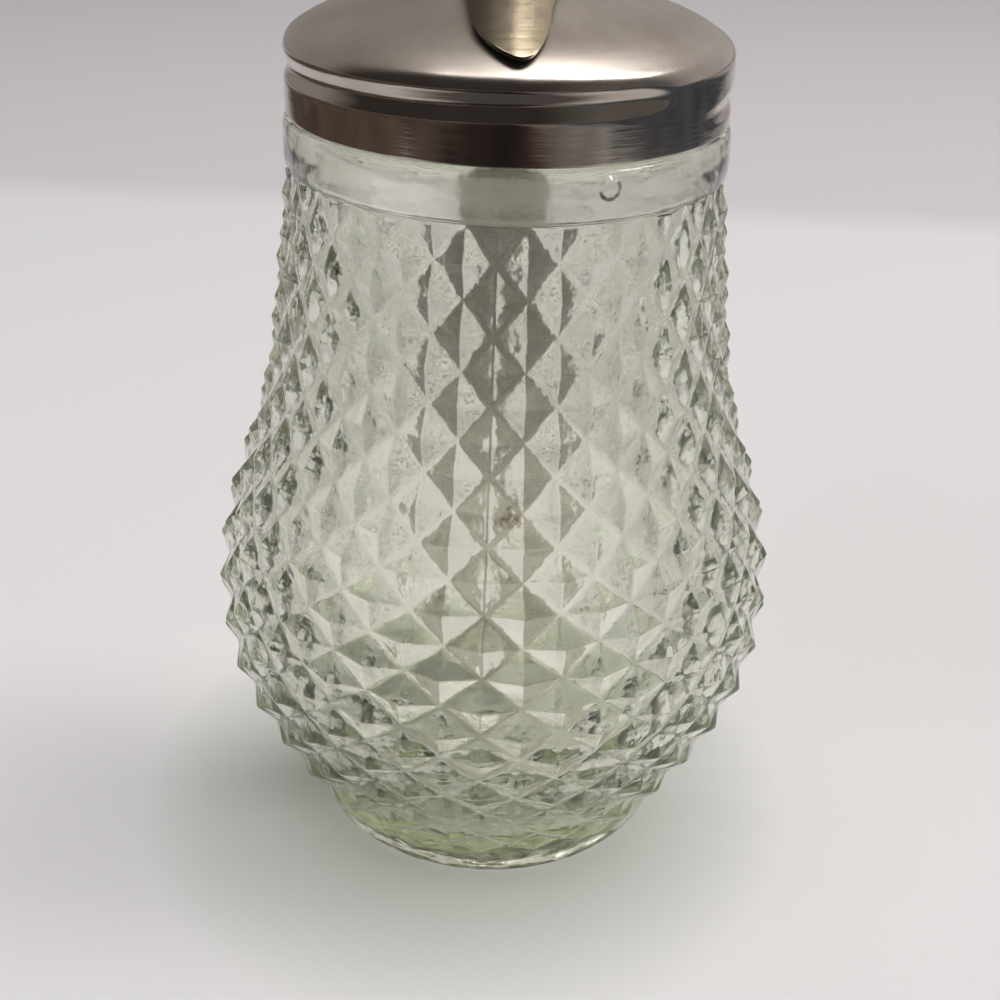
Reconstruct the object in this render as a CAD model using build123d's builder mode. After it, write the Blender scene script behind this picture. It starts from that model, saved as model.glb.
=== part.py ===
from build123d import *
import os
from math import cos, pi, radians, sin

# Sugar dispenser with flap: a pressed-glass jar with a screwed chrome lid, a dosing tube on
# its axis and a spout closed by a hinged flap. Millimetres, +Z up, origin at the centre of
# the foot's underside, and the flap points towards -Y.

os.makedirs("parts", exist_ok=True)

# ---------------------------------------------------------------- driving dimensions
# jar body
columns = 24               # diamond points around the jar
half_rows = 22             # half diamonds from the foot to the neck band
column_phase = -1.5        # angle of the first column from -Y, degrees
foot_h = 8.0               # top of the plain foot
ledge_z = 108.0            # lower edge of the plain neck band
foot_r = 29.4
belly_r = 44.6             # to the tips of the points
belly_z = 41.0
neck_point_r = 31.3        # tips of the points under the neck band
foot_point_r = 33.3        # tips of the points above the foot
point_depth_min = 1.2      # height of the points at both ends of the body
point_depth_gain = 0.5     # added to it half way down

# jar neck
band_r = 31.3
shoulder_z = 115.1
finish_r = 28.6            # wall of the threaded finish
rim_z = 123.6
mouth_r = 25.2
thread_pitch = 5.0
thread_crest_r = 29.5
thread_z = 117.5           # centre of the glass thread where it starts
thread_turn = 340.0        # length of the glass thread, degrees
thread_start = 63.0        # where it starts, from +X

# lid
skirt_z = 115.35
skirt_r = 30.8
sheet = 0.55
crown_z = 123.6            # top of the straight skirt
crown_r = 2.9              # rounding between the skirt and the dome
crown_turn = 57.7          # its angle
seat_z = 132.7             # flat in the middle of the dome, for the spout
seat_r = 11.5

# thread rolled into the skirt: one turn of a shallow groove
groove_depth = 0.6
groove_w = 3.8
groove_z = 118.65          # centre of the groove where it starts
groove_turn = 352.0
groove_start = -40.0       # where it starts, from +X
groove_arc = (groove_w ** 2 / 4 + groove_depth ** 2) / (2 * groove_depth)
groove_axis_r = skirt_r - groove_depth + groove_arc

# liner and seal
liner_bore_r = 25.2
seal_t = 1.2
seal_clear = 0.1

# dosing tube and spout
tube_r = 6.3
tube_bore_r = 5.8
tube_z0 = 13.0
tube_z1 = 134.0
spout_r = 6.95
spout_bore_r = 6.35
spout_z0 = 127.0

# flap: a tapering trough of sheet, upside down, that slopes down to the dome's front
flap_slope = 30.0
flap_t = 0.7
flap_curve_r = 11.0        # outer radius of the trough
tip_y, tip_z = -28.5, 128.1
tip_half_w, tip_len = 5.15, 9.8
hood_half_w = 7.8          # over the spout's mouth
hood_s0, hood_s1 = 25.0, 35.0
neck_half_w = 4.2
neck_s = 39.0
flap_len = 43.5
seat_gap = 0.25

# hinge
knuckle_s = 44.0
knuckle_r = 1.9
pin_r = 1.0
pin_clear = 0.06
ear_in, ear_t = 4.45, 0.9
eye_r = 2.3


# ---------------------------------------------------------------- flap directions
slope = radians(flap_slope)
down = Vector(0, -cos(slope), -sin(slope))     # along the flap, towards its tip
out = Vector(0, -sin(slope), cos(slope))       # square to the flap, outwards
tip = Vector(0, tip_y, tip_z)
hinge = tip - down * knuckle_s - out * knuckle_r


def flap_plane(s, depth=0.0):
    """Plane square to the flap's length, s from the tip, depth below the crest."""
    return Plane(origin=tip - down * s - out * depth, x_dir=(1, 0, 0), z_dir=down)


# ---------------------------------------------------------------- jar: the diamond points
# The tips of the points lie on a turned envelope. A lattice of tips and valley nodes is laid
# on it, the nodes are sunk below it, and each cell is folded along its two nodes.
with BuildLine(Plane.XZ) as envelope:
    tips_line = Spline(
        (neck_point_r, ledge_z),
        (33.6, 90),
        (37.0, 71),
        (41.6, 58),
        (belly_r, belly_z),
        (43.3, 29),
        (39.1, 18.5),
        (foot_point_r, foot_h),
    )


def lattice_point(j, k):
    t = k / half_rows
    on_tip = tips_line @ t
    along = tips_line % t
    sunk = 0.0 if (j + k) % 2 == 0 else point_depth_min + point_depth_gain * sin(pi * t)
    if k in (0, half_rows):
        r, z = on_tip.X - sunk, on_tip.Z
    else:
        r, z = on_tip.X + along.Z * sunk, on_tip.Z - along.X * sunk
    a = radians(column_phase + 180.0 * j / columns)
    return Vector(r * sin(a), -r * cos(a), z)


count = 2 * columns
lattice = [[lattice_point(j, k) for j in range(count)] for k in range(half_rows + 1)]
facets = []
for k in range(half_rows):
    for j in range(count):
        i = (j + 1) % count
        high_a, high_b = lattice[k][j], lattice[k][i]
        low_a, low_b = lattice[k + 1][j], lattice[k + 1][i]
        if (j + k) % 2 == 0:
            folds = ([high_a, low_a, high_b], [high_b, low_a, low_b])
        else:
            folds = ([high_a, low_a, low_b], [high_a, low_b, high_b])
        facets += [Face(Wire.make_polygon(fold)) for fold in folds]
facets.append(Face(Wire.make_polygon(lattice[0])))
facets.append(Face(Wire.make_polygon(lattice[half_rows][::-1])))
pointed_body = Solid(Shell(facets))

with BuildPart() as glass_thread:
    with BuildLine() as thread_path:
        Helix(pitch=thread_pitch, height=thread_pitch * thread_turn / 360, radius=finish_r - 0.2,
              center=(0, 0, thread_z))
    with BuildSketch(Plane(origin=(finish_r - 0.2, 0, thread_z), x_dir=(1, 0, 0), z_dir=(0, 1, 0))):
        with BuildLine():
            crest = thread_crest_r - finish_r + 0.2
            Polyline((-0.15, -1.1), (0.2, -1.0), (crest, -0.35), (crest, 0.35), (0.2, 1.0),
                     (-0.15, 1.1), close=True)
        make_face()
    sweep(path=thread_path.line, is_frenet=True)
glass_thread.part = glass_thread.part.rotate(Axis.Z, thread_start)
with BuildPart() as glass_jar:
    add(pointed_body)
    # foot
    with BuildSketch(Plane.XZ):
        with BuildLine():
            Polyline((0, foot_h + 4), (0, 0), (foot_r - 1.0, 0))
            ThreePointArc((foot_r - 1.0, 0), (foot_r - 0.2, 0.35), (foot_r + 0.1, 1.1))
            Spline((foot_r + 0.1, 1.1), (30.7, 5.6), (31.1, foot_h - 0.8))
            Polyline((31.1, foot_h - 0.8), (30.6, foot_h + 0.4), (29, foot_h + 0.4),
                     (29, foot_h + 4), (0, foot_h + 4))
        make_face()
    revolve(axis=Axis.Z)
    # plain neck band and the finish inside the lid
    with BuildSketch(Plane.XZ):
        with BuildLine():
            Polyline((0, rim_z), (0, ledge_z - 4), (28.2, ledge_z - 4), (28.2, ledge_z - 0.1),
                     (band_r - 0.4, ledge_z - 0.1), (band_r - 0.1, ledge_z + 0.5))
            Spline((band_r - 0.1, ledge_z + 0.5), (band_r, 111.2), (band_r - 0.1, 113.6))
            ThreePointArc((band_r - 0.1, 113.6), (30.7, 114.8), (29.6, shoulder_z))
            Polyline((29.6, shoulder_z), (finish_r, shoulder_z), (finish_r, rim_z - 0.8))
            ThreePointArc((finish_r, rim_z - 0.8), (finish_r - 0.24, rim_z - 0.24),
                          (finish_r - 0.8, rim_z))
            Line((finish_r - 0.8, rim_z), (0, rim_z))
        make_face()
    revolve(axis=Axis.Z)
    add(glass_thread.part)
    # hollow, with a thick base
    with BuildSketch(Plane.XZ):
        with BuildLine():
            Line((0, 7.2), (17, 7.4))
            Spline((17, 7.4), (26, 10.4), (32.5, 18), (37.4, 28), (39.8, 41), (37.7, 55.5),
                   (32.6, 69.5), (29.7, 85), (28.3, 100), (27.7, 110), (26.8, 114.5),
                   (mouth_r, 118.4), tangents=((1, 0.02), (0, 1)))
            Polyline((mouth_r, 118.4), (mouth_r, rim_z + 1), (0, rim_z + 1), (0, 7.2))
        make_face()
    revolve(axis=Axis.Z, mode=Mode.SUBTRACT)
    # hollow under the foot
    with BuildSketch(Plane.XZ):
        with BuildLine():
            Line((0, -1), (24.8, -1))
            Line((24.8, -1), (24.8, 0))
            Spline((24.8, 0), (23.6, 1.0), (16, 1.5), (0, 1.8), tangents=((-0.4, 1), (-1, 0)))
            Line((0, 1.8), (0, -1))
        make_face()
    revolve(axis=Axis.Z, mode=Mode.SUBTRACT)
    # half-round mark on the neck band, on the mould's parting line
    with BuildSketch(Plane(origin=(0, 0, 112.6), z_dir=(sin(radians(24.5)), -cos(radians(24.5)), 0))
                     .offset(band_r - 1.2)):
        Circle(1.55)
    extrude(amount=1.75, taper=12)
glass_jar.part.label = "glass_jar"
export_step(glass_jar.part, "parts/glass_jar.step")

# ---------------------------------------------------------------- lid shell
# One sheet: a straight skirt with the thread rolled into it, rounded over into a low dome
# with a flat seat and a hole for the spout. It is the lid's outer form less the room in it.


def rolled_thread(radius):
    """A round bar bent to the thread's helix, with ball ends."""
    with BuildPart() as bar:
        with BuildLine() as path:
            Helix(pitch=thread_pitch, height=thread_pitch * groove_turn / 360,
                  radius=groove_axis_r, center=(0, 0, groove_z))
        with BuildSketch(Plane(origin=path.line @ 0, z_dir=path.line % 0)):
            Circle(radius)
        sweep(path=path.line, is_frenet=True)
        with Locations(path.line @ 0, path.line @ 1):
            Sphere(radius)
    return bar.part.rotate(Axis.Z, groove_start)


def crown_point(radius, share):
    """A point on the rounding above the skirt, 0 at its foot and 1 at the dome."""
    a = radians(crown_turn * share)
    return skirt_r - crown_r + radius * cos(a), crown_z + radius * sin(a)


with BuildPart() as lid_room:
    inner_r = crown_r - sheet
    with BuildSketch(Plane.XZ):
        with BuildLine():
            wall = Line((skirt_r - sheet, skirt_z - 1), crown_point(inner_r, 0))
            crown = ThreePointArc(wall @ 1, crown_point(inner_r, 0.5), crown_point(inner_r, 1))
            dome = Spline(crown @ 1, (26.95, 126.9), (20.8, 129.23), (15.35, 131.17),
                          (seat_r, seat_z - sheet), tangents=(crown % 1, (-1, 0)))
            Polyline(dome @ 1, (0, seat_z - sheet), (0, skirt_z - 1), wall @ 0)
        make_face()
    revolve(axis=Axis.Z)
    add(rolled_thread(groove_arc + sheet), mode=Mode.SUBTRACT)

with BuildPart() as lid_shell:
    with BuildSketch(Plane.XZ):
        with BuildLine():
            skirt = Line((skirt_r, skirt_z), crown_point(crown_r, 0))
            crown = ThreePointArc(skirt @ 1, crown_point(crown_r, 0.5), crown_point(crown_r, 1))
            dome = Spline(crown @ 1, (27.2, 127.4), (21, 129.75), (15.5, 131.7),
                          (seat_r, seat_z), tangents=(crown % 1, (-1, 0)))
            Polyline(dome @ 1, (spout_r, seat_z), (spout_r, skirt_z), skirt @ 0)
        make_face()
    revolve(axis=Axis.Z)
    add(rolled_thread(groove_arc), mode=Mode.SUBTRACT)
    add(lid_room.part, mode=Mode.SUBTRACT)
lid_shell.part.label = "lid_shell"
export_step(lid_shell.part, "parts/lid_shell.step")

# ---------------------------------------------------------------- liner in the lid's edge
# A moulded ring that fills the corner above the glass rim and bears on the seal.
with BuildPart() as lid_liner:
    with BuildSketch(Plane.XY.offset(rim_z + seal_t + seal_clear)):
        Circle(skirt_r)
        Circle(liner_bore_r, mode=Mode.SUBTRACT)
    extrude(amount=5)
    add(lid_room.part, mode=Mode.INTERSECT)
lid_liner.part.label = "lid_liner"
export_step(lid_liner.part, "parts/lid_liner.step")

# ---------------------------------------------------------------- sealing ring on the glass rim
with BuildPart() as sealing_ring:
    with BuildSketch(Plane.XY.offset(rim_z)):
        Circle(finish_r - 0.1)
        Circle(mouth_r - 0.6, mode=Mode.SUBTRACT)
    extrude(amount=seal_t)
sealing_ring.part.label = "sealing_ring"
export_step(sealing_ring.part, "parts/sealing_ring.step")

# ---------------------------------------------------------------- dosing tube
with BuildPart() as dosing_tube:
    with BuildSketch(Plane.XY.offset(tube_z0)):
        Circle(tube_r)
        Circle(tube_bore_r, mode=Mode.SUBTRACT)
    extrude(amount=tube_z1 - tube_z0)
    ends = dosing_tube.edges().filter_by(GeomType.CIRCLE)
    fillet(ends, radius=0.12)
dosing_tube.part.label = "dosing_tube"
export_step(dosing_tube.part, "parts/dosing_tube.step")

# ---------------------------------------------------------------- spout
# A tube through the dome. Its mouth is cut to the flap's underside, a gap below it.
with BuildPart() as spout:
    with BuildSketch(Plane.XY.offset(spout_z0)):
        Circle(spout_r)
        Circle(spout_bore_r, mode=Mode.SUBTRACT)
    extrude(amount=30)
    with BuildSketch(flap_plane(12, depth=flap_curve_r)):
        Circle(flap_curve_r - flap_t - seat_gap)
        Rectangle(2 * (flap_curve_r - flap_t - seat_gap), 40, align=(Align.CENTER, Align.MAX))
    extrude(amount=-45, mode=Mode.INTERSECT)
spout.part.label = "spout"
export_step(spout.part, "parts/spout.step")

# ---------------------------------------------------------------- collar on the dome
with BuildPart() as spout_collar:
    with BuildSketch(Plane.XZ):
        with BuildLine():
            Polyline((spout_r, seat_z), (10.4, seat_z), (10.4, seat_z + 0.5))
            ThreePointArc((10.4, seat_z + 0.5), (8.7, seat_z + 1.3), (7.9, seat_z + 3.0))
            Polyline((7.9, seat_z + 3.0), (7.6, seat_z + 3.5), (spout_r, seat_z + 3.5),
                     (spout_r, seat_z))
        make_face()
    revolve(axis=Axis.Z)
spout_collar.part.label = "spout_collar"
export_step(spout_collar.part, "parts/spout_collar.step")

# ---------------------------------------------------------------- ring that locks the spout
with BuildPart() as lock_ring:
    with BuildSketch(Plane.XY.offset(seat_z - sheet)):
        RegularPolygon(radius=10.6, side_count=6)
        Circle(spout_r, mode=Mode.SUBTRACT)
    extrude(amount=-2.4)
lock_ring.part.label = "lock_ring"
export_step(lock_ring.part, "parts/lock_ring.step")

# ---------------------------------------------------------------- hinge bracket
# A strap around the back of the spout, with two ears that carry the pin.
strap_r = spout_r + 0.8
strap_y = 4.7              # the strap lies behind this, clear of the flap's sides
with BuildPart() as hinge_bracket:
    with BuildSketch(Plane.XY.offset(138.8)):
        Circle(strap_r)
        with Locations((0, strap_y)):
            Rectangle(3 * strap_r, 3 * strap_r, align=(Align.CENTER, Align.MAX), mode=Mode.SUBTRACT)
    extrude(amount=4.6)
    for side in (-1, 1):
        with BuildSketch(Plane.YZ.offset(side * (ear_in + ear_t / 2))):
            with BuildLine():
                Polyline((4.0, 139.0), (7.2, 139.0), (hinge.Y + 2.2, hinge.Z - 0.7),
                         (hinge.Y - 1.9, hinge.Z + 1.3), (5.2, 144.0), (4.0, 142.6), close=True)
            make_face()
            with Locations((hinge.Y, hinge.Z)):
                Circle(eye_r)
                Circle(pin_r, mode=Mode.SUBTRACT)
        extrude(amount=ear_t / 2, both=True)
    with BuildSketch(Plane.XY.offset(130)):
        Circle(spout_r)
    extrude(amount=20, mode=Mode.SUBTRACT)
hinge_bracket.part.label = "hinge_bracket"
export_step(hinge_bracket.part, "parts/hinge_bracket.step")

# ---------------------------------------------------------------- hinge pin with riveted ends
ear_out = ear_in + ear_t
with BuildPart() as hinge_pin:
    with BuildSketch(Plane.YZ.offset(-ear_out)):
        with Locations((hinge.Y, hinge.Z)):
            Circle(pin_r)
    extrude(amount=2 * ear_out)
    for side in (-1, 1):
        with BuildSketch(Plane.YZ.offset(side * ear_out)):
            with Locations((hinge.Y, hinge.Z)):
                Circle(1.75)
        extrude(amount=side * 0.75)
    heads = hinge_pin.edges().filter_by(GeomType.CIRCLE).group_by(Axis.X)
    fillet(heads[0], radius=0.5)
    fillet(hinge_pin.edges().filter_by(GeomType.CIRCLE).group_by(Axis.X)[-1], radius=0.5)
hinge_pin.part.label = "hinge_pin"
export_step(hinge_pin.part, "parts/hinge_pin.step")

# ---------------------------------------------------------------- flap
# A curved sheet cut to an outline that runs from the rounded tip through a straight taper to
# the hood over the spout's mouth and in to the neck, where it is rolled around the pin.
with BuildPart() as flap:
    with BuildSketch(flap_plane(flap_len, depth=flap_curve_r)):
        Circle(flap_curve_r)
        Circle(flap_curve_r - flap_t, mode=Mode.SUBTRACT)
        Rectangle(2 * hood_half_w + 1, 2 * flap_curve_r, align=(Align.CENTER, Align.MIN),
                  mode=Mode.INTERSECT)
    extrude(amount=flap_len)
    with BuildSketch(Plane(origin=tip + out * 5, x_dir=(1, 0, 0), z_dir=out)):
        with BuildLine():
            EllipticalCenterArc((0, tip_len), tip_half_w, tip_len, start_angle=270, arc_size=90)
            taper = Line((tip_half_w, tip_len), (hood_half_w, hood_s0))
            hood = Line(taper @ 1, (hood_half_w, hood_s1))
            waist = Line(hood @ 1, (neck_half_w, neck_s))
            neck = Line(waist @ 1, (neck_half_w, flap_len))
            back = Line(neck @ 1, (0, flap_len))
            mirror(about=Plane.YZ)
        make_face()
    extrude(amount=-25, mode=Mode.INTERSECT)
    with BuildSketch(Plane.YZ.offset(-neck_half_w)):
        with Locations((hinge.Y, hinge.Z)):
            Circle(knuckle_r)
    extrude(amount=2 * neck_half_w)
    with BuildSketch(Plane.YZ.offset(-neck_half_w - 1)):
        with Locations((hinge.Y, hinge.Z)):
            Circle(pin_r + pin_clear)
    extrude(amount=2 * neck_half_w + 2, mode=Mode.SUBTRACT)
flap.part.label = "flap"
export_step(flap.part, "parts/flap.step")
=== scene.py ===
import math

import bpy
import numpy as np
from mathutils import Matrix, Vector


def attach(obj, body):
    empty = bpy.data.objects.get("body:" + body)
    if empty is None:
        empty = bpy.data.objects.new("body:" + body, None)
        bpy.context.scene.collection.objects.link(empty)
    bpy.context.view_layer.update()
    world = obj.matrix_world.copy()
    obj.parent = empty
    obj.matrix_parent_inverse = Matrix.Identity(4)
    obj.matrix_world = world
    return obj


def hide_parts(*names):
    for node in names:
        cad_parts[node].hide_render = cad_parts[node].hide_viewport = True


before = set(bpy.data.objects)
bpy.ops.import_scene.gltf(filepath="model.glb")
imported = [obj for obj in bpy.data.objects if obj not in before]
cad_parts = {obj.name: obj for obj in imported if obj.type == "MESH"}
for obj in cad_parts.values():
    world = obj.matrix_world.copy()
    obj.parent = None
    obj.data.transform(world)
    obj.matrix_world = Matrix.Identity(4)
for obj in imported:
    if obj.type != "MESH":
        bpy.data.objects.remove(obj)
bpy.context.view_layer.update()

# ------------------------------------------------------------------ jar
# One piece of faintly green glass, blown into a two-part mould: a thick plain foot, a pear-
# shaped body covered with rows of four-sided points, and a plain neck band that carries the
# threaded finish. The plunger and the blowing leave the inside smooth but a little wavy.
mm = 0.001
near = 0.001 * mm
columns = 24
half_rows = 22
first_column = math.radians(-1.5)
valley_at_ends, valley_at_middle = 1.2, 1.7
end_valley_size = 0.963
least_body_r = 28.8
valley_round, point_round_share = 0.6, 0.45
glass_floor_low, glass_floor_high, glass_floor_r = 7.0, 7.6, 20.0
widest_inside_r = 40.0
# each ring is a radius and a height, in millimetres
foot_rings = [(4, 1.78), (12, 1.65), (19, 1.4), (23.4, 1.05), (24.5, 0.5), (25.2, 0.08),
              (26, 0), (28.3, 0), (29, 0.2), (29.4, 0.7), (29.6, 1.6), (30.1, 3.5), (30.7, 5.6),
              (31.05, 7.0), (30.9, 7.75)]
body_line = [(33.3, 8.0), (39.1, 18.5), (43.3, 29), (44.6, 41), (41.6, 58), (37.0, 71),
             (33.6, 90), (31.3, 108.0)]
top_of_points = 107.85
neck_rings = [(30.5, 108.0), (31.15, 108.35), (31.28, 109.4), (31.3, 111.3), (31.25, 113.2),
              (31.1, 114.1), (30.75, 114.6), (30.2, 114.95), (29.5, 115.1), (28.9, 115.12)]
finish_rings = [(28.6, height) for height in (115.4, 117, 118.5, 120, 121.5, 122.7)]
rim_rings = [(28.4, 123.3), (27.8, 123.58), (26.0, 123.58), (25.4, 123.3), (25.2, 122.7)]
inside_rings = [(25.2, 118.8), (25.2, 116), (25.25, 114.2), (25.6, 112.6), (26.4, 111),
                (27.2, 109.4), (27.8, 107), (28.1, 103.5), (28.3, 100), (28.9, 92), (29.7, 85),
                (30.9, 77.5), (32.6, 69.5), (35.0, 62.4), (37.7, 55.5), (39.3, 48.5),
                (39.8, 41), (39.1, 34), (37.4, 28), (35.2, 22.8), (32.5, 18), (29.6, 13.8),
                (26, 10.5), (22, 8.4), (17, 7.45), (10, 7.25), (3, 7.2)]


def smooth_line(points, count, ends=None):
    """Evenly spaced points on the smooth curve, a cubic spline, through the points given.

    ends, where given, holds the curve's directions at its first and at its last point.
    """
    knots = np.array(points, float)
    last = len(knots) - 1
    step = np.diff(knots, axis=0)
    span = np.hypot(*step.T)
    slope = step / span[:, None]
    matrix, sides = np.eye(last + 1), np.zeros((last + 1, 2))
    for i in range(1, last):
        matrix[i, i - 1:i + 2] = span[i - 1], 2 * (span[i - 1] + span[i]), span[i]
        sides[i] = 6 * (slope[i] - slope[i - 1])
    if ends:
        matrix[0, :2] = 2 * span[0], span[0]
        matrix[-1, -2:] = span[-1], 2 * span[-1]
        sides[0], sides[-1] = 6 * (slope[0] - ends[0]), 6 * (ends[1] - slope[-1])
    bend = np.linalg.solve(matrix, sides)
    curve = [knots[0]]
    for i in range(last):
        for t in np.linspace(0.01, 1, 100):
            curve.append((1 - t) * knots[i] + t * knots[i + 1] + span[i] ** 2 / 6 * (
                ((1 - t) ** 3 - 1 + t) * bend[i] + (t ** 3 - t) * bend[i + 1]))
    radii, heights = np.array(curve).T
    run = np.append(0, np.cumsum(np.hypot(np.diff(radii), np.diff(heights))))
    at = np.linspace(0, run[-1], count)
    return list(zip(np.interp(at, run, radii).tolist(), np.interp(at, run, heights).tolist()))


def turned(name, rings, sides, start=0.0):
    """Turns a wall from one circle, extruded and resized ring by ring about the Z axis."""
    bpy.ops.object.select_all(action="DESELECT")
    radius, height = rings[0]
    bpy.ops.mesh.primitive_circle_add(vertices=sides, radius=radius * mm,
                                      location=(0, 0, height * mm), rotation=(0, 0, start))
    bpy.ops.object.transform_apply(location=True, rotation=True, scale=True)
    bpy.ops.object.mode_set(mode="EDIT")
    bpy.ops.mesh.select_all(action="SELECT")
    for (ra, za), (rb, zb) in zip(rings, rings[1:]):
        bpy.ops.mesh.extrude_edges_move(TRANSFORM_OT_translate={"value": (0, 0, (zb - za) * mm)})
        bpy.ops.transform.resize(value=(rb / ra, rb / ra, 1), center_override=(0, 0, zb * mm))
    bpy.ops.object.mode_set(mode="OBJECT")
    bpy.context.object.name = name
    return bpy.context.object


def choose(piece, wanted, kind="VERT"):
    """Selects the vertices or faces that pass the test, and leaves edit mode open."""
    bpy.ops.object.select_all(action="DESELECT")
    bpy.context.view_layer.objects.active = piece
    piece.select_set(True)
    bpy.ops.object.mode_set(mode="EDIT")
    bpy.ops.mesh.select_mode(type=kind)
    bpy.ops.mesh.select_all(action="DESELECT")
    bpy.ops.object.mode_set(mode="OBJECT")
    for part in piece.data.vertices if kind == "VERT" else piece.data.polygons:
        if wanted(part):
            part.select = True
    bpy.ops.object.mode_set(mode="EDIT")


def close_rings(piece, *heights):
    """Fills the open rings at these heights, in millimetres, and turns all faces outwards."""
    for height in heights:
        choose(piece, lambda v: abs(v.co.z - height * mm) < near)
        bpy.ops.mesh.edge_face_add()
        bpy.ops.object.mode_set(mode="OBJECT")
    choose(piece, lambda v: True)
    bpy.ops.mesh.normals_make_consistent(inside=False)
    bpy.ops.object.mode_set(mode="OBJECT")


def smooth_faces(piece):
    """Shades every face of the piece smooth."""
    choose(piece, lambda p: True, "FACE")
    bpy.ops.mesh.faces_shade_smooth()
    bpy.ops.object.mode_set(mode="OBJECT")


def add_modifier(piece, kind, **settings):
    """Puts one modifier on the piece and applies it at once."""
    bpy.ops.object.select_all(action="DESELECT")
    bpy.context.view_layer.objects.active = piece
    piece.select_set(True)
    modifier = piece.modifiers.new(kind.lower(), kind)
    for key, value in settings.items():
        setattr(modifier, key, value)
    bpy.ops.object.modifier_apply(modifier=modifier.name)


def faces_axis(v):
    """Whether the surface at a vertex looks towards the Z axis."""
    return v.normal.x * v.co.x + v.normal.y * v.co.y < 0


# the body's rings stand evenly along its outline, half a row of points apart
point_rings = smooth_line(body_line, half_rows + 1)
point_rings[-1] = (body_line[-1][0], top_of_points)
jar_rings = foot_rings + point_rings + neck_rings + finish_rings + rim_rings + inside_rings
jar = turned("jar", jar_rings, sides=2 * columns, start=first_column)
close_rings(jar, foot_rings[0][1], inside_rings[-1][1])

# the valleys between the points: every other vertex of the body is sunk along its normal
levels = [height * mm for radius, height in point_rings]
valley = set()
sunk = jar.vertex_groups.new(name="sunk")
for v in jar.data.vertices:
    level = min(range(half_rows + 1), key=lambda k: abs(v.co.z - levels[k]))
    on_level = abs(v.co.z - levels[level]) < near
    if not on_level or math.hypot(v.co.x, v.co.y) < least_body_r * mm:
        continue
    column = round((math.atan2(v.co.x, -v.co.y) - first_column) / (math.pi / columns))
    if (column + level) % 2:
        valley.add(v.index)
        if 0 < level < half_rows:
            depth = valley_at_ends + (valley_at_middle - valley_at_ends) * math.sin(
                math.pi * level / half_rows)
            sunk.add([v.index], depth / valley_at_middle, "REPLACE")
add_modifier(jar, "DISPLACE", strength=-valley_at_middle * mm, mid_level=0.0,
             direction="NORMAL", vertex_group="sunk")
for height in (levels[0], levels[-1]):
    choose(jar, lambda v: v.index in valley and abs(v.co.z - height) < near)
    bpy.ops.transform.resize(value=(end_valley_size, end_valley_size, 1),
                             center_override=(0, 0, height))
    bpy.ops.object.mode_set(mode="OBJECT")
choose(jar, lambda v: v.index in valley)
bpy.ops.mesh.vert_connect()
bpy.ops.object.mode_set(mode="OBJECT")

# the mould's edges are soft: wide round valleys, and points and ridges with a small radius
weights = jar.data.attributes.new("bevel_weight_edge", "FLOAT", "EDGE")
body_low, body_high = levels[0] - 0.1 * mm, levels[-1] + 0.05 * mm
for e in jar.data.edges:
    ends = [jar.data.vertices[i] for i in e.vertices]
    if all(body_low < v.co.z < body_high and
           math.hypot(v.co.x, v.co.y) > least_body_r * mm for v in ends):
        in_valley = all(v.index in valley for v in ends)
        weights.data[e.index].value = 1.0 if in_valley else point_round_share
add_modifier(jar, "BEVEL", limit_method="WEIGHT", width=valley_round * mm, segments=2)
choose(jar, lambda p: True, "FACE")
bpy.ops.mesh.remove_doubles(threshold=0.002 * mm)
bpy.ops.object.mode_set(mode="OBJECT")
smooth_faces(jar)
add_modifier(jar, "WEIGHTED_NORMAL", keep_sharp=True, weight=70)


def node_tree(name):
    """A new material with its Principled shader and Object coordinates."""
    material = bpy.data.materials.new(name)
    material.use_nodes = True
    tree = material.node_tree
    place = tree.nodes.new("ShaderNodeTexCoord")
    return material, tree, tree.nodes["Principled BSDF"], place.outputs["Object"]


def noise(tree, place, scale, detail=2.0, rough=0.5, stretch=(1, 1, 1)):
    """A noise pattern; scale is in cells per metre, and stretch squeezes it along each axis."""
    mapping = tree.nodes.new("ShaderNodeMapping")
    mapping.inputs["Scale"].default_value = stretch
    tree.links.new(place, mapping.inputs["Vector"])
    pattern = tree.nodes.new("ShaderNodeTexNoise")
    pattern.inputs["Scale"].default_value = scale
    pattern.inputs["Detail"].default_value = detail
    pattern.inputs["Roughness"].default_value = rough
    tree.links.new(mapping.outputs["Vector"], pattern.inputs["Vector"])
    return pattern.outputs["Fac"]


def axis(tree, place, letter):
    """One coordinate of a place."""
    split = tree.nodes.new("ShaderNodeSeparateXYZ")
    tree.links.new(place, split.inputs["Vector"])
    return split.outputs[letter]


def distance(tree, place, centre=(0, 0, 0)):
    """How far a place is from a point."""
    node = tree.nodes.new("ShaderNodeVectorMath")
    node.operation = "DISTANCE"
    tree.links.new(place, node.inputs[0])
    node.inputs[1].default_value = centre
    return node.outputs["Value"]


def ramp(tree, value, low, high, from_min=0.35, from_max=0.65):
    """Turns a pattern into a range of plain numbers."""
    node = tree.nodes.new("ShaderNodeMapRange")
    node.inputs["From Min"].default_value = from_min
    node.inputs["From Max"].default_value = from_max
    node.inputs["To Min"].default_value = low
    node.inputs["To Max"].default_value = high
    tree.links.new(value, node.inputs["Value"])
    return node.outputs["Result"]


def worked_out(tree, operation, *values):
    """A calculation with patterns and plain numbers."""
    node = tree.nodes.new("ShaderNodeMath")
    node.operation = operation
    for socket, value in zip(node.inputs, values):
        if isinstance(value, (int, float)):
            socket.default_value = value
        else:
            tree.links.new(value, socket)
    return node.outputs[0]


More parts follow.
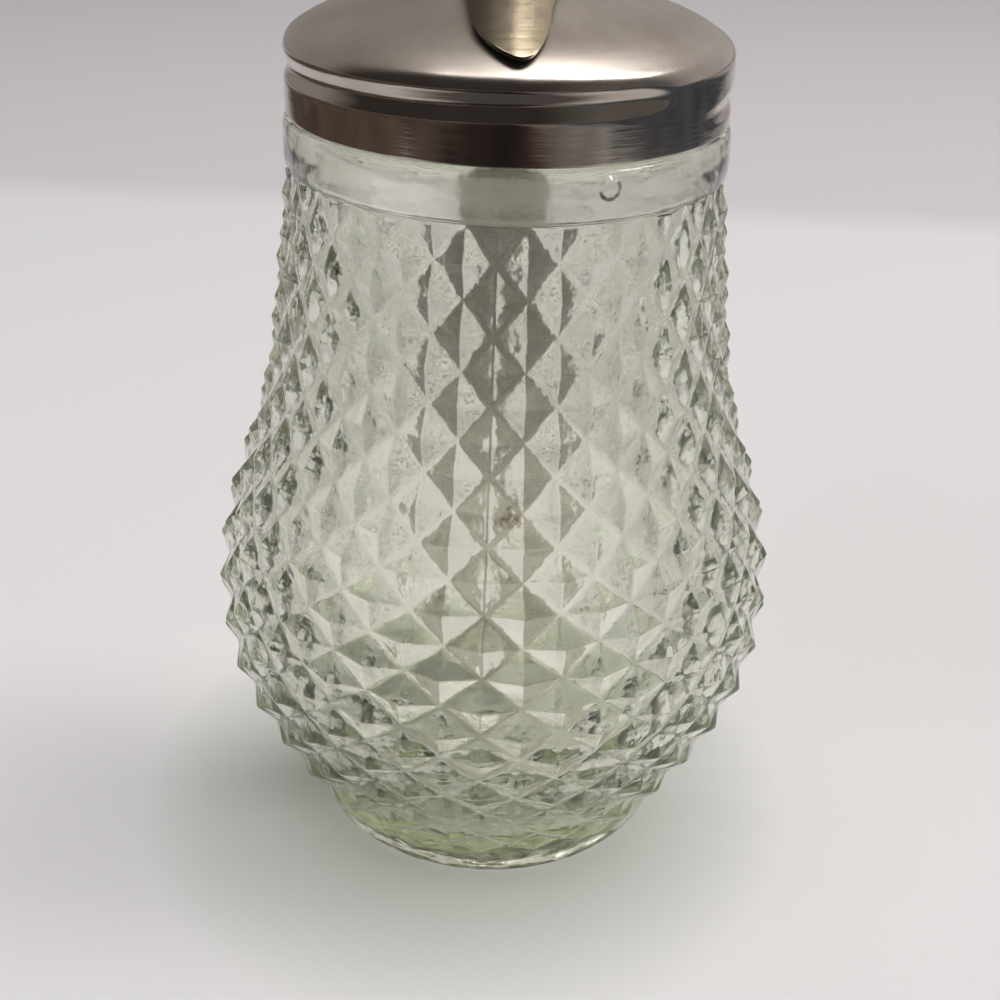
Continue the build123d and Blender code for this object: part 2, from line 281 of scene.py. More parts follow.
def two_tone(tree, share, low, high, blend="MIX"):
    """Blends two colours, each plain or a pattern, by a share from 0 to 1."""
    node = tree.nodes.new("ShaderNodeMix")
    node.data_type = "RGBA"
    node.blend_type = blend
    if isinstance(share, (int, float)):
        node.inputs["Factor"].default_value = share
    else:
        tree.links.new(share, node.inputs["Factor"])
    for name, colour in (("A", low), ("B", high)):
        if isinstance(colour, tuple):
            node.inputs[name].default_value = (*colour, 1)
        else:
            tree.links.new(colour, node.inputs[name])
    return node.outputs["Result"]


def bump(tree, shader, height, depth):
    """Adds a fine relief, depth in metres, on top of any relief the shader already has."""
    node = tree.nodes.new("ShaderNodeBump")
    node.inputs["Strength"].default_value = 1.0
    node.inputs["Distance"].default_value = depth
    tree.links.new(height, node.inputs["Height"])
    if shader.inputs["Normal"].is_linked:
        tree.links.new(shader.inputs["Normal"].links[0].from_socket, node.inputs["Normal"])
    tree.links.new(node.outputs["Normal"], shader.inputs["Normal"])


# the blown side of the wall is wavier and hazier than the side that touched the mould
blown = jar.data.attributes.new("blown", "FLOAT", "POINT")
for v in jar.data.vertices:
    r, z = math.hypot(v.co.x, v.co.y) / mm, v.co.z / mm
    inner_wall = z > glass_floor_low and faces_axis(v) and r < widest_inside_r
    glass_floor = glass_floor_low < z < glass_floor_high and r < glass_floor_r
    blown.data[v.index].value = 1.0 if inner_wall or glass_floor else 0.0
material, tree, shader, place = node_tree("jar_glass")
shader.inputs["Transmission Weight"].default_value = 1.0
shader.inputs["IOR"].default_value = 1.51
wall_side = tree.nodes.new("ShaderNodeAttribute")
wall_side.attribute_name = "blown"
inside = wall_side.outputs["Fac"]
tint = two_tone(tree, ramp(tree, noise(tree, place, 45, 3), 0, 1), (0.965, 0.97, 0.935),
                (0.985, 0.985, 0.955))
# a brown trace of old sugar, a few millimetres across, has dried on the front
stain_place = (2.2 * mm, -37.2 * mm, 70.2 * mm)
ragged = worked_out(tree, "MULTIPLY_ADD", noise(tree, place, 700, 4, 0.7), 5 * mm,
                    distance(tree, place, stain_place))
stained = two_tone(tree, ramp(tree, ragged, 1, 0, 3.9 * mm, 4.7 * mm), tint, (0.30, 0.21, 0.07))
tree.links.new(stained, shader.inputs["Base Color"])
haze = worked_out(tree, "MULTIPLY", ramp(tree, noise(tree, place, 260, 3), 0.6, 1),
                  ramp(tree, inside, 0.08, 0.22, 0, 1))
tree.links.new(haze, shader.inputs["Roughness"])
calm_neck = ramp(tree, axis(tree, place, "Z"), 1, 0.3, 106.5 * mm, 108.5 * mm)
waves = worked_out(tree, "MULTIPLY", noise(tree, place, 170, 1.5), ramp(tree, inside, 1, 0.5, 0, 1))
ripples = noise(tree, place, 420, 2)
bump(tree, shader, worked_out(tree, "MULTIPLY", waves, calm_neck), 0.8 * mm)
bump(tree, shader, worked_out(tree, "MULTIPLY", ripples, calm_neck), 0.2 * mm)
# the mould left one small half-round mark on the neck band
mark = distance(tree, place, (12.98 * mm, -28.48 * mm, 112.6 * mm))
bump(tree, shader, ramp(tree, mark, 1, 0, 1.1 * mm, 1.6 * mm), 0.35 * mm)
green = tree.nodes.new("ShaderNodeVolumeAbsorption")
green.inputs["Color"].default_value = (0.46, 0.54, 0.04, 1)
green.inputs["Density"].default_value = 18
tree.links.new(green.outputs[0], tree.nodes["Material Output"].inputs["Volume"])
jar.data.materials.append(material)
jar.visible_shadow = False
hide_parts("glass_jar")
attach(jar, "jar")

# ------------------------------------------------------------------ seal and liner
# A ring of white rubber lies on the glass rim, and a moulded ring fills the corner of the lid
# above it. Both show only when the lid is off.
for node, colour, other in (("sealing_ring", (0.72, 0.70, 0.64), (0.60, 0.58, 0.52)),
                            ("lid_liner", (0.80, 0.79, 0.74), (0.70, 0.68, 0.62))):
    material, tree, shader, place = node_tree(node + "_finish")
    tree.links.new(two_tone(tree, ramp(tree, noise(tree, place, 120, 4), 0, 1), colour, other),
                   shader.inputs["Base Color"])
    tree.links.new(ramp(tree, noise(tree, place, 700, 3), 0.38, 0.55), shader.inputs["Roughness"])
    shader.inputs["Subsurface Weight"].default_value = 0.1
    shader.inputs["Subsurface Scale"].default_value = 1 * mm
    bump(tree, shader, noise(tree, place, 1500, 3), 0.01 * mm)
    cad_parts[node].data.materials.clear()
    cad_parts[node].data.materials.append(material)

# ------------------------------------------------------------------ lid shell
# The lid is spun from one sheet of steel and chrome plated: a straight skirt with one turn of
# thread rolled into it, and a low dome with a soft edge. Years of wiping dull the dome.
sheet = 0.55
skirt_r = 30.8
spout_hole_r = 7.0
soft_edge_r, soft_edge_z, soft_edge_round = 27.9, 123.6, 2.9
soft_edge = [math.radians(a) for a in (0, 12, 23, 35, 46, 57.7)]
dome_outside = [(27.2, 127.4), (21, 129.75), (15.5, 131.7), (11.5, 132.69)]
dome_inside = [(26.95, 126.9), (20.8, 129.23), (15.35, 131.17), (11.5, 132.14)]
dome_rows = 12
skirt_rows = [116.2 + 0.37 * i for i in range(20)]
folded_hem = [(30.25, 115.7), (30.28, 115.43), (30.36, 115.36), (30.7, 115.36), (30.78, 115.38),
              (skirt_r, 115.46), (skirt_r, 115.8)]


def dome_wall(rounding, dome):
    """One side of the sheet, from the skirt's top round the soft edge to the spout's hole."""
    edge = [(soft_edge_r + rounding * math.cos(a), soft_edge_z + rounding * math.sin(a))
            for a in soft_edge]
    off_the_edge = (-math.sin(soft_edge[-1]), math.cos(soft_edge[-1]))
    rise = smooth_line([edge[-1]] + dome, dome_rows, ends=(off_the_edge, (-1, 0)))
    return edge + rise[1:] + [(spout_hole_r, dome[-1][1])]


def join_ends(piece, rings):
    """Bridges the first ring and the last, so that the wall closes on itself."""
    ends = [Vector((radius, height)) * mm for radius, height in (rings[0], rings[-1])]
    choose(piece, lambda v: any(
        (Vector((math.hypot(v.co.x, v.co.y), v.co.z)) - end).length < 10 * near for end in ends))
    bpy.ops.mesh.bridge_edge_loops()
    bpy.ops.object.mode_set(mode="OBJECT")
    close_rings(piece)


lid_rings = (dome_wall(soft_edge_round - sheet, dome_inside)[::-1] +
             [(skirt_r - sheet, height) for height in reversed(skirt_rows)] + folded_hem +
             [(skirt_r, height) for height in skirt_rows] +
             dome_wall(soft_edge_round, dome_outside))
lid = turned("lid", lid_rings, sides=192)
join_ends(lid, lid_rings)

# the rolled thread: one turn of a shallow groove that climbs less over its last stretch and
# fades out at both ends
thread_start, thread_turn, thread_z, pitch = 80.0, 310.0, 118.91, 5.0
dome_from_r, dome_from_z = 29.0, 126.2
lead_in = 30.0
last_stretch, last_climb = 271.0, 0.4
start_fade, end_fade = 0.14, 0.28
groove_depth, groove_half = 0.6, 2.1
rolled = {side: lid.vertex_groups.new(name=side) for side in ("outer", "inner")}
for v in lid.data.vertices:
    radius, z = math.hypot(v.co.x, v.co.y) / mm, v.co.z / mm
    if radius < dome_from_r or z > dome_from_z:
        continue
    angle = math.degrees(math.atan2(v.co.x, -v.co.y)) % 360
    nearest = groove_half
    for turn in (0, 360):
        along = angle + turn - thread_start
        climb = (min(max(along, -lead_in), last_stretch) +
                 last_climb * min(max(along - last_stretch, 0), thread_turn - last_stretch))
        off = z - thread_z - pitch * climb / 360
        past = math.radians(skirt_r) * max(-along * start_fade, (along - thread_turn) * end_fade, 0)
        nearest = min(nearest, math.hypot(off, past))
    if nearest < groove_half:
        pressed = 0.5 + 0.5 * math.cos(math.pi * nearest / groove_half)
        rolled["inner" if faces_axis(v) else "outer"].add([v.index], pressed, "REPLACE")
for side, press in (("outer", -groove_depth), ("inner", groove_depth)):
    add_modifier(lid, "DISPLACE", strength=press * mm, mid_level=0.0, direction="NORMAL",
                 vertex_group=side)
add_modifier(lid, "SUBSURF", levels=1, render_levels=1)
smooth_faces(lid)


def worn_chrome(name, tone, dull, rough, haze, wiped=None):
    """Chrome plate: clean metal of one tone, cloudy patches of another, and fine scratches.

    Above the height wiped, in millimetres, years of wiping have made it duller.
    """
    dents, scratches = 0.03 * mm, 0.012 * mm
    material, tree, shader, place = node_tree(name)
    shader.inputs["Metallic"].default_value = 1.0
    clouds = ramp(tree, noise(tree, place, 60, 5, 0.6), 0, 1)
    tree.links.new(two_tone(tree, clouds, tone, dull), shader.inputs["Base Color"])
    fine = ramp(tree, noise(tree, place, 420, 6, 0.65), rough, rough + haze * 0.5)
    roughness = worked_out(tree, "MULTIPLY_ADD", clouds, haze * 0.5, fine)
    if wiped:
        duller = ramp(tree, axis(tree, place, "Z"), 0, 0.24, (wiped - 0.6) * mm,
                      (wiped + 1.6) * mm)
        roughness = worked_out(tree, "ADD", roughness, duller)
    tree.links.new(roughness, shader.inputs["Roughness"])
    bump(tree, shader, noise(tree, place, 45, 2), dents)
    bump(tree, shader, noise(tree, place, 300, 2, 0.5, (0.15, 1.0, 6.0)), scratches)
    bump(tree, shader, noise(tree, place, 330, 2, 0.5, (1.0, 0.12, 4.0)), scratches * 0.7)
    return material


lid.data.materials.append(worn_chrome("lid_chrome", (0.56, 0.51, 0.465), (0.43, 0.38, 0.335),
                                      0.06, 0.07, wiped=124.9))
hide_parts("lid_shell")
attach(lid, "lid")

# ------------------------------------------------------------------ dosing tube
# A drawn metal tube on the jar's axis, with both ends deburred. It reaches down to just above
# the glass bottom and carries the spout's dose up through the lid. Its metal is bright low down and
# darker higher up, and its top end is pale and not metallic.
tube_bore_r, tube_r = 5.8, 6.3
tube_low, tube_middle, tube_high = 13.0, 60.0, 134.0


def deburred_end(bore_r, wall_r, end, into):
    """The rings of a tube's rounded end, from its bore to its outside.

    into is 1 where the tube goes up from this end, and -1 where it goes down.
    """
    return [(bore_r, end + into), (bore_r, end + 0.25 * into), (bore_r + 0.15, end + 0.02 * into),
            (wall_r - 0.15, end + 0.02 * into), (wall_r, end + 0.25 * into), (wall_r, end + into)]


tube_rings = (deburred_end(tube_bore_r, tube_r, tube_low, 1) + [(tube_r, tube_middle)] +
              deburred_end(tube_bore_r, tube_r, tube_high, -1)[::-1])
tube = turned("tube", tube_rings, sides=64)
join_ends(tube, tube_rings)
smooth_faces(tube)


def colour_band(tree, value, stops):
    """A run of colours along a value from 0 to 1."""
    node = tree.nodes.new("ShaderNodeValToRGB")
    tree.links.new(value, node.inputs["Fac"])
    band = node.color_ramp.elements
    for at, colour in stops:
        band.new(at).color = (*colour, 1)
    band.remove(band[0])
    band.remove(band[-1])
    return node.outputs["Color"]


def toned(material, shade):
    """Multiplies the metal's own colour by a shade."""
    tree = material.node_tree
    own = tree.nodes["Principled BSDF"].inputs["Base Color"]
    tree.links.new(two_tone(tree, 1.0, own.links[0].from_socket, shade, "MULTIPLY"), own)


material = worn_chrome("tube_metal", (0.73, 0.705, 0.64), (0.55, 0.515, 0.45), 0.16, 0.2)
tree = material.node_tree
up_the_tube = axis(tree, tree.nodes["Texture Coordinate"].outputs["Object"], "Z")
# the metal's colour is darker from about the middle up to just below the top end
tube_tones = [(at, (shade, shade, shade))
           for at, shade in ((0.15, 1.0), (0.6, 0.44), (0.815, 0.40), (0.855, 1.0))]
toned(material, colour_band(tree, ramp(tree, up_the_tube, 0, 1, 40 * mm, 120 * mm), tube_tones))
tree.links.new(ramp(tree, up_the_tube, 1, 0.1, 105.4 * mm, 108.2 * mm),
               tree.nodes["Principled BSDF"].inputs["Metallic"])
tube.data.materials.append(material)
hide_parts("dosing_tube")
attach(tube, "tube")

# ------------------------------------------------------------------ spout and collar
# The spout is a short tube through the dome. A pressed collar stiffens it where it comes out,
# and a steel nut holds it from below. Its mouth is cut to the curve of the flap.
spout_bore_r, spout_r = 6.35, 6.95
spout_low, spout_uncut = 127.0, 150.0
# the flap is a trough that slopes down from the hinge to its tip over the dome's front
slope = math.radians(30)
down = Vector((0, -math.cos(slope), -math.sin(slope)))
out = Vector((0, -math.sin(slope), math.cos(slope)))
tip = Vector((0, -28.5, 128.1)) * mm
trough_r, plate, mouth_gap = 11.0, 0.7, 0.25
flap_length, knuckle_r = 44.0, 1.9
hinge = tip - down * flap_length * mm - out * knuckle_r * mm

spout_rings = (deburred_end(spout_bore_r, spout_r, spout_low, 1) +
               [(spout_r, spout_uncut), (spout_bore_r, spout_uncut)])
spout = turned("spout_tube", spout_rings, sides=64)
join_ends(spout, spout_rings)
# what lies inside the flap's hollow, or below it, stays of the tube, and the rest is cut off
trough_axis = tip - out * trough_r * mm
bpy.ops.object.select_all(action="DESELECT")
bpy.ops.mesh.primitive_cylinder_add(vertices=96, radius=(trough_r - plate - mouth_gap) * mm,
                                    depth=70 * mm, location=trough_axis - down * 20 * mm,
                                    rotation=(slope - math.radians(90), 0, 0))
cutter = bpy.context.object
bpy.ops.object.transform_apply(location=True, rotation=True, scale=True)
choose(cutter, lambda v: (v.co - trough_axis).dot(out) < 0.1 * mm)
bpy.ops.transform.translate(value=-out * 40 * mm)
bpy.ops.object.mode_set(mode="OBJECT")
add_modifier(spout, "BOOLEAN", operation="INTERSECT", object=cutter, solver="EXACT")
bpy.data.objects.remove(cutter)
add_modifier(spout, "BEVEL", limit_method="ANGLE", angle_limit=math.radians(40),
             width=0.12 * mm, segments=2)
bpy.ops.object.shade_smooth_by_angle(angle=math.radians(35))
spout.data.materials.append(worn_chrome("spout_chrome", (0.70, 0.68, 0.64), (0.58, 0.54, 0.49),
                                        0.08, 0.12))
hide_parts("spout")
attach(spout, "lid")

collar_rings = [(7.0, 132.75), (10.1, 132.75), (10.35, 132.8), (10.4, 132.95), (10.3, 133.15),
                (9.7, 133.3), (8.9, 133.75), (8.3, 134.5), (8.0, 135.4), (7.85, 135.9),
                (7.6, 136.15), (7.25, 136.18), (7.0, 136.05)]
collar = turned("collar", collar_rings, sides=48)
join_ends(collar, collar_rings)
add_modifier(collar, "SUBSURF", levels=1, render_levels=1)
bpy.ops.object.shade_smooth_by_angle(angle=math.radians(50))
collar.data.materials.append(worn_chrome("collar_chrome", (0.68, 0.65, 0.61), (0.5, 0.46, 0.42),
                                         0.12, 0.16))
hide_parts("spout_collar")
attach(collar, "lid")

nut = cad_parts["lock_ring"]
nut.data.materials.clear()
nut.data.materials.append(worn_chrome("nut_steel", (0.5, 0.49, 0.47), (0.36, 0.34, 0.31),
                                      0.28, 0.2))

# ------------------------------------------------------------------ hinge bracket and pin
# A strap of plated sheet is bent round the back of the spout, and its two ears carry a pin
# with riveted ends. Each ear narrows towards the eye round the pin.
strap_r, strap_low, strap_wide, strap_sheet = 7.75, 138.8, 4.6, 0.78
strap_front = 4.75
ear_x, ear_sheet, eye_r = 4.9, 0.9, 2.28
ear_blank, ear_blank_y, ear_blank_z = (ear_sheet, 7.2, 9.2), 7.6, 143.6
ear_cuts = (((0, 7.2, 139.0), (0, 0.92, -0.4)), ((0, 5.2, 144.0), (0, -0.76, 0.65)))
bpy.ops.object.select_all(action="DESELECT")
bpy.ops.mesh.primitive_circle_add(vertices=96, radius=strap_r * mm,
                                  location=(0, 0, strap_low * mm), fill_type="NOTHING")
bpy.ops.object.transform_apply(location=True, rotation=True, scale=True)
bracket = bpy.context.object
bracket.name = "bracket"
choose(bracket, lambda v: v.co.y < strap_front * mm)
bpy.ops.mesh.delete(type="VERT")
bpy.ops.mesh.select_all(action="SELECT")
bpy.ops.mesh.extrude_edges_move(TRANSFORM_OT_translate={"value": (0, 0, strap_wide * mm)})
bpy.ops.mesh.select_all(action="SELECT")
bpy.ops.mesh.normals_make_consistent(inside=False)
bpy.ops.object.mode_set(mode="OBJECT")
first_face = bracket.data.polygons[0]
faces_out = first_face.normal.xy.dot(first_face.center.xy) > 0
add_modifier(bracket, "SOLIDIFY", thickness=strap_sheet * mm, offset=-1 if faces_out else 1)
# each ear is a plate, cut off slantwise below and above and drawn out to the eye's round
for side in (-1, 1):
    bpy.ops.object.select_all(action="DESELECT")
    bpy.ops.mesh.primitive_cube_add(size=1, location=(side * ear_x * mm, ear_blank_y * mm,
                                                      ear_blank_z * mm))
    ear = bpy.context.object
    ear.scale = Vector(ear_blank) * mm
    bpy.ops.object.transform_apply(location=True, rotation=True, scale=True)
    bpy.ops.object.mode_set(mode="EDIT")
    for point, normal in ear_cuts:
        bpy.ops.mesh.select_all(action="SELECT")
        bpy.ops.mesh.bisect(plane_co=Vector(point) * mm, plane_no=normal, clear_outer=True,
                            use_fill=True)
    bpy.ops.mesh.primitive_cylinder_add(vertices=40, radius=eye_r * mm, depth=ear_sheet * mm,
                                        location=(side * ear_x * mm, hinge.y, hinge.z),
                                        rotation=(0, math.radians(90), 0))
    bpy.ops.mesh.select_all(action="SELECT")
    bpy.ops.mesh.convex_hull(use_existing_faces=False, join_triangles=True)
    bpy.ops.mesh.select_all(action="SELECT")
    bpy.ops.mesh.dissolve_limited(angle_limit=math.radians(1))
    bpy.ops.object.mode_set(mode="OBJECT")
    add_modifier(bracket, "BOOLEAN", operation="UNION", object=ear, solver="EXACT")
    bpy.data.objects.remove(ear)
add_modifier(bracket, "BEVEL", limit_method="ANGLE", angle_limit=math.radians(40),
             width=0.12 * mm, segments=2)
bpy.ops.object.shade_smooth_by_angle(angle=math.radians(35))
bracket.data.materials.append(worn_chrome("bracket_chrome", (0.67, 0.64, 0.6),
                                          (0.5, 0.46, 0.41), 0.12, 0.18))
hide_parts("hinge_bracket")
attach(bracket, "lid")

pin_half = 6.1
riveted_end = [(0.5, 0), (1.2, 0.04), (1.6, 0.2), (1.75, 0.5), (1.7, 0.74), (1.0, 0.75)]
pin_rings = ([(radius, depth - pin_half) for radius, depth in riveted_end] +
             [(radius, pin_half - depth) for radius, depth in reversed(riveted_end)])
pin = turned("pin", pin_rings, sides=32)
close_rings(pin, -pin_half, pin_half)
choose(pin, lambda v: True)
bpy.ops.transform.rotate(value=math.radians(90), orient_axis="Y", center_override=(0, 0, 0))
bpy.ops.transform.translate(value=hinge)
bpy.ops.object.mode_set(mode="OBJECT")
bpy.ops.object.shade_smooth_by_angle(angle=math.radians(50))
pin.data.materials.append(worn_chrome("pin_steel", (0.58, 0.57, 0.55), (0.42, 0.40, 0.37),
                                      0.18, 0.2))
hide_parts("hinge_pin")
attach(pin, "lid")

# ------------------------------------------------------------------ flap
# The flap is stamped from plated sheet: a tapering trough turned upside down, with a rounded
# tip that rests over the dome's front, and a neck that is rolled round the pin.
tip_length, tip_half, tip_power = 9.8, 5.15, 1.75
hood_from, hood_to, hood_half = 25.0, 35.0, 7.8
neck_from, neck_half = 39.0, 4.2
flat_from, flat_over = 38.0, 4.5
rolled_turn = math.radians(305)
worn = 1.3
# the rows across the blank, in millimetres from the tip up towards the hinge
tip_rows = [tip_length * (1 - math.cos(math.radians(a))) for a in (6, 14, 24, 35, 47, 60, 75, 90)]
lengths = tip_rows + [12, 14.5, 17, 19.5, 22, 25, 27, 29.5, 32, *range(35, 45)]


def half_width(s):
    """Half the flap's width at the distance s from the tip."""
    if s < tip_length:
        return tip_half * (1 - (1 - s / tip_length) ** tip_power) ** (1 / tip_power)
    if s < hood_from:
        return tip_half + (hood_half - tip_half) * (s - tip_length) / (hood_from - tip_length)
    if s < hood_to:
        return hood_half
    narrowed = (hood_half - neck_half) * (s - hood_to) / (neck_from - hood_to)
    return max(neck_half, hood_half - narrowed)


bpy.ops.object.select_all(action="DESELECT")
bpy.ops.mesh.primitive_grid_add(x_subdivisions=16, y_subdivisions=len(lengths) - 1, size=2 * mm)
flap = bpy.context.object
flap.name = "flap_plate"
ys = sorted({round(v.co.y, 7) for v in flap.data.vertices})
# each row gets its width and its length, and then the blank is bent round the trough's axis
for y, s in zip(ys, lengths):
    aside = worn * max(0, 1 - s / tip_length) ** 2
    choose(flap, lambda v: abs(v.co.y - y) < near)
    bpy.ops.transform.resize(value=(half_width(s), 1, 1), center_override=(0, y, 0))
    bpy.ops.transform.translate(value=(aside * mm, 0, s * mm))
    bpy.ops.object.mode_set(mode="OBJECT")
for v in flap.data.vertices:
    s = v.co.z
    flat = min(1.0, max(0.0, (s - flat_from * mm) / (flat_over * mm)))
    drop = trough_r * mm - math.sqrt((trough_r * mm) ** 2 - v.co.x ** 2)
    v.co = tip - down * s - out * (drop * (1 - flat)) + Vector((v.co.x, 0, 0))
# the neck's end is rolled round the pin
choose(flap, lambda v: (tip - v.co).dot(down) > (flap_length - 0.1) * mm)
bpy.ops.mesh.spin(steps=22, angle=rolled_turn, center=hinge, axis=(1, 0, 0))
bpy.ops.mesh.select_all(action="SELECT")
bpy.ops.mesh.remove_doubles(threshold=0.001 * mm)
bpy.ops.mesh.normals_make_consistent(inside=False)
bpy.ops.object.mode_set(mode="OBJECT")
# the trough's back is its outer side
crest = max(flap.data.polygons, key=lambda p: p.center.dot(out) - abs(p.center.x))
if crest.normal.dot(out) < 0:
    choose(flap, lambda p: True, "FACE")
    bpy.ops.mesh.flip_normals()
    bpy.ops.object.mode_set(mode="OBJECT")
add_modifier(flap, "SOLIDIFY", thickness=plate * mm, offset=-1, use_even_offset=True)
add_modifier(flap, "BEVEL", limit_method="ANGLE", angle_limit=math.radians(50),
             width=0.33 * mm, segments=3)
bpy.ops.object.shade_smooth_by_angle(angle=math.radians(40))
# painted shade: the trough's left side is darker than its right, as the light falls from the right
material = worn_chrome("flap_chrome", (0.50, 0.44, 0.335), (0.37, 0.31, 0.225), 0.16, 0.12)
tree = material.node_tree
across = axis(tree, tree.nodes["Texture Coordinate"].outputs["Object"], "X")
# painted shade: the metal's colour darkens towards the trough's left side
toned(material, two_tone(tree, ramp(tree, across, 0, 1, -4.5 * mm, 5.5 * mm),
                         (0.30, 0.31, 0.33), (1.0, 0.98, 0.93)))
flap.data.materials.append(material)
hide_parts("flap")
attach(flap, "flap")

# ------------------------------------------------------------------ stage, light and camera
# A pale table with a painted shadow round the jar's foot, a soft ceiling light almost overhead,
# and a dim room in front of the jar, painted on a sheet which the plated skirt mirrors. Places are
# in metres.
backdrop = (0.60, 0.57, 0.59)
near_table, far_table = (0.66, 0.65, 0.65), (0.575, 0.545, 0.56)
# the colour and the centre of a painted shadow round the jar's foot
painted_shadow_colour, painted_shadow_centre = (0.50, 0.51, 0.47), (-0.004, -0.006, 0)
bpy.ops.object.select_all(action="DESELECT")
bpy.ops.mesh.primitive_plane_add(size=6, location=(0, 0, -0.0001))
floor = bpy.context.object
floor.name = "floor"
material, tree, shader, place = node_tree("pale_table_painted_shadow")
table_edge = worked_out(tree, "MULTIPLY_ADD", axis(tree, place, "X"), 0.03,
                        axis(tree, place, "Y"))
table = two_tone(tree, ramp(tree, table_edge, 0, 1, 0.31, 0.34), near_table, far_table)
# painted shadow: the table is darker round the jar's foot and under the glass
from_foot = distance(tree, place, painted_shadow_centre)
shade = two_tone(tree, ramp(tree, from_foot, 0, 1, 0.022, 0.056), painted_shadow_colour, (1, 1, 1))
tree.links.new(two_tone(tree, 1.0, table, shade, "MULTIPLY"), shader.inputs["Base Color"])
shader.inputs["Roughness"].default_value = 0.6
shader.inputs["Specular IOR Level"].default_value = 0.2
# far from the jar the table fades into the backdrop
rays = tree.nodes.new("ShaderNodeLightPath")
far = worked_out(tree, "MULTIPLY", ramp(tree, distance(tree, place), 0, 1, 1.0, 1.7),
                 rays.outputs["Is Camera Ray"])
faded = tree.nodes.new("ShaderNodeEmission")
faded.inputs["Color"].default_value = (*backdrop, 1)


def blend_shaders(tree, share, first, second):
    """Blends two finishes by a share from 0 to 1, as the whole of the material."""
    node = tree.nodes.new("ShaderNodeMixShader")
    tree.links.new(share, node.inputs["Fac"])
    tree.links.new(first.outputs[0], node.inputs[1])
    tree.links.new(second.outputs[0], node.inputs[2])
    tree.links.new(node.outputs[0], tree.nodes["Material Output"].inputs["Surface"])


blend_shaders(tree, far, shader, faded)
floor.data.materials.append(material)

# metal mirrors the near part of the table, and beyond it a dim room, which is this sheet, a painted
# reflection; only reflections show it
bpy.ops.mesh.primitive_plane_add(size=4, location=(0, 0, 0.002))
painted_dark_room = bpy.context.object
painted_dark_room.name = "painted_dark_room"
material, tree, shader, place = node_tree("painted_dim_room")
across, ahead = axis(tree, place, "X"), axis(tree, place, "Y")
sideways = worked_out(tree, "ABSOLUTE", across)
beside_table = worked_out(tree, "MULTIPLY", ramp(tree, sideways, 0, 1, 0.26, 0.34),
                          ramp(tree, ahead, 1, 0, 0.4, 0.7))
outside_table = worked_out(tree, "MAXIMUM", beside_table,
                           ramp(tree, ahead, 1, 0, -0.3, -0.22))
# a painted shadow of whoever stands in front, on the table's near part, shown only in reflections
painted_viewer_shadow = worked_out(tree, "MULTIPLY", ramp(tree, ahead, 0.88, 0, -0.11, -0.05),
                             ramp(tree, sideways, 1, 0, 0.08, 0.17))
# the painted reflection glows with the room's colours, dimmer and brighter at random
dim = tree.nodes.new("ShaderNodeEmission")
painted_room_colours = ((0.12, (0.12, 0.09, 0.075)), (0.30, (0.05, 0.036, 0.032)),
                (0.50, (0.022, 0.018, 0.018)), (0.57, (0.04, 0.026, 0.024)),
                (0.61, (0.10, 0.06, 0.055)), (0.66, (0.24, 0.22, 0.21)),
                (0.86, (0.34, 0.33, 0.32)), (0.93, (0.09, 0.095, 0.11)))
tree.links.new(colour_band(tree, ramp(tree, across, 0, 1, -0.5, 0.5), painted_room_colours),
               dim.inputs["Color"])
tree.links.new(ramp(tree, noise(tree, place, 9, 3), 0.7, 1.3, 0.4, 0.62), dim.inputs["Strength"])
blend_shaders(tree, worked_out(tree, "MAXIMUM", outside_table, painted_viewer_shadow),
              tree.nodes.new("ShaderNodeBsdfTransparent"), dim)
tree.nodes.remove(shader)
painted_dark_room.data.materials.append(material)
painted_dark_room.visible_camera = False
painted_dark_room.visible_diffuse = False
painted_dark_room.visible_transmission = False
painted_dark_room.visible_shadow = False

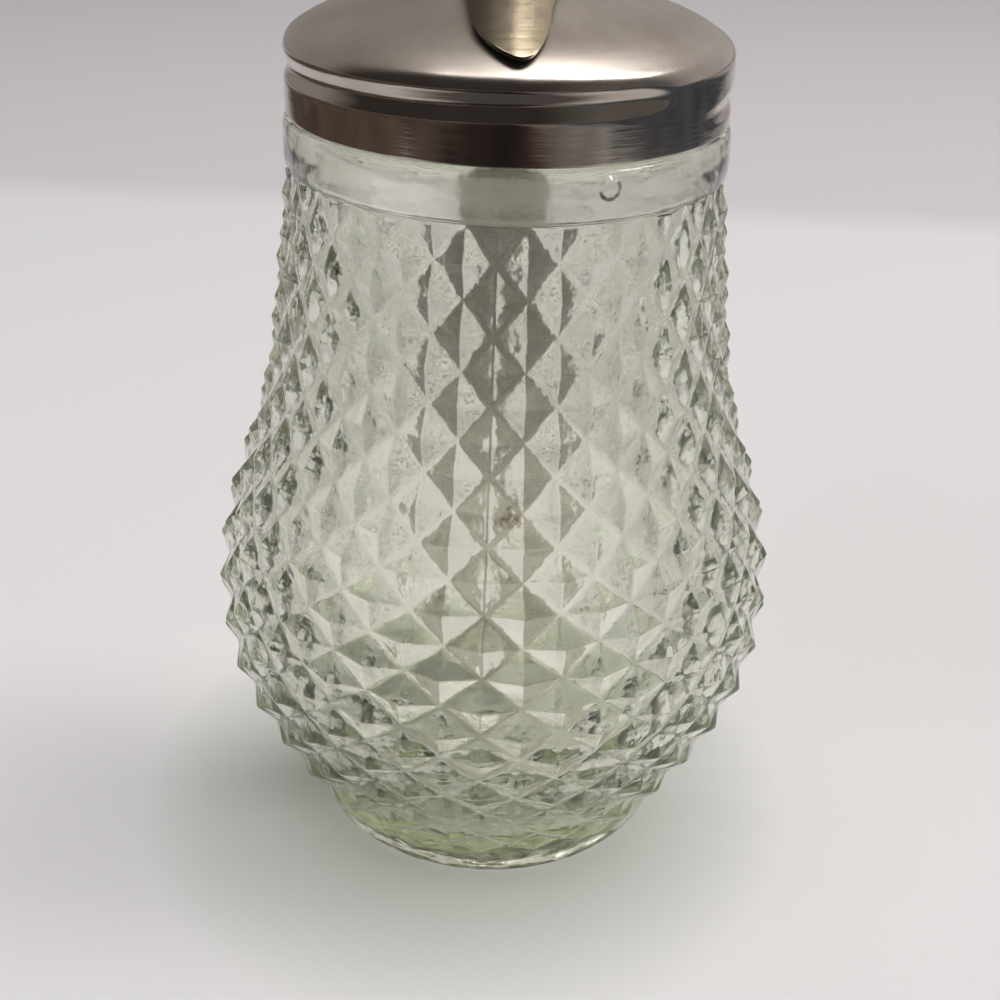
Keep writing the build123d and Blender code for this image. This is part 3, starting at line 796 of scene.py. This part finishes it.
# camera and glass see the backdrop, plain surfaces are lit evenly, and metal mirrors a room
# that is dark in front and paler behind
world = bpy.data.worlds.new("room")
bpy.context.scene.world = world
world.use_nodes = True
tree = world.node_tree
view = tree.nodes.new("ShaderNodeTexCoord").outputs["Generated"]
across, ahead = axis(tree, view, "X"), axis(tree, view, "Y")
dark_side = two_tone(tree, ramp(tree, across, 0, 1, 0.25, 0.7), (0.05, 0.042, 0.038),
                     (0.16, 0.15, 0.145))
pale_side = two_tone(tree, ramp(tree, across, 0, 1, 0.1, 0.5), (0.34, 0.315, 0.30),
                     (0.52, 0.49, 0.475))
walls = two_tone(tree, ramp(tree, ahead, 0, 1, -0.15, 0.25), dark_side, pale_side)
rays = tree.nodes.new("ShaderNodeLightPath")
lit = two_tone(tree, rays.outputs["Is Glossy Ray"], (0.45, 0.44, 0.44), walls)
seen = worked_out(tree, "MAXIMUM", rays.outputs["Is Camera Ray"],
                  rays.outputs["Is Transmission Ray"])
sky = tree.nodes["Background"]
tree.links.new(two_tone(tree, seen, lit, backdrop), sky.inputs["Color"])
sky.inputs["Strength"].default_value = 1.0


def soft_light(name, place, target, size, power, colour, mirrored=True):
    """A rectangular lamp that looks at a point; mirrored says whether metal shows it."""
    lamp = bpy.data.lights.new(name, "AREA")
    lamp.shape = "RECTANGLE"
    lamp.size, lamp.size_y = size
    lamp.energy = power
    lamp.color = colour
    holder = bpy.data.objects.new(name, lamp)
    bpy.context.scene.collection.objects.link(holder)
    holder.location = place
    holder.visible_glossy = mirrored
    holder.rotation_euler = (Vector(target) - Vector(place)).to_track_quat("-Z", "Y").to_euler()


warm_white, cool_white = (1, 0.985, 0.965), (0.97, 0.98, 1)
soft_light("ceiling", (0.5, 0.14, 1.12), (0.5, 0.14, 0), (0.84, 0.24), 8.0, warm_white)
soft_light("ceiling_end", (-0.13, 0.11, 1.12), (-0.13, 0.11, 0), (0.4, 0.18), 0.9, warm_white)
soft_light("window", (-0.8, -0.5, 0.8), (0, 0, 0.06), (0.8, 0.6), 5.0, cool_white,
           mirrored=False)

camera = bpy.data.cameras.new("camera")
camera.lens = 50.4
camera.sensor_width = 36
camera.clip_start = 0.01
eye = bpy.data.objects.new("camera", camera)
bpy.context.scene.collection.objects.link(eye)
eye.location = (0, -0.19747, 0.16262)
eye.rotation_euler = [math.radians(a) for a in (60.847, -1.6332, 0.7008)]
bpy.context.scene.camera = eye
bpy.context.scene.view_settings.view_transform = "Standard"
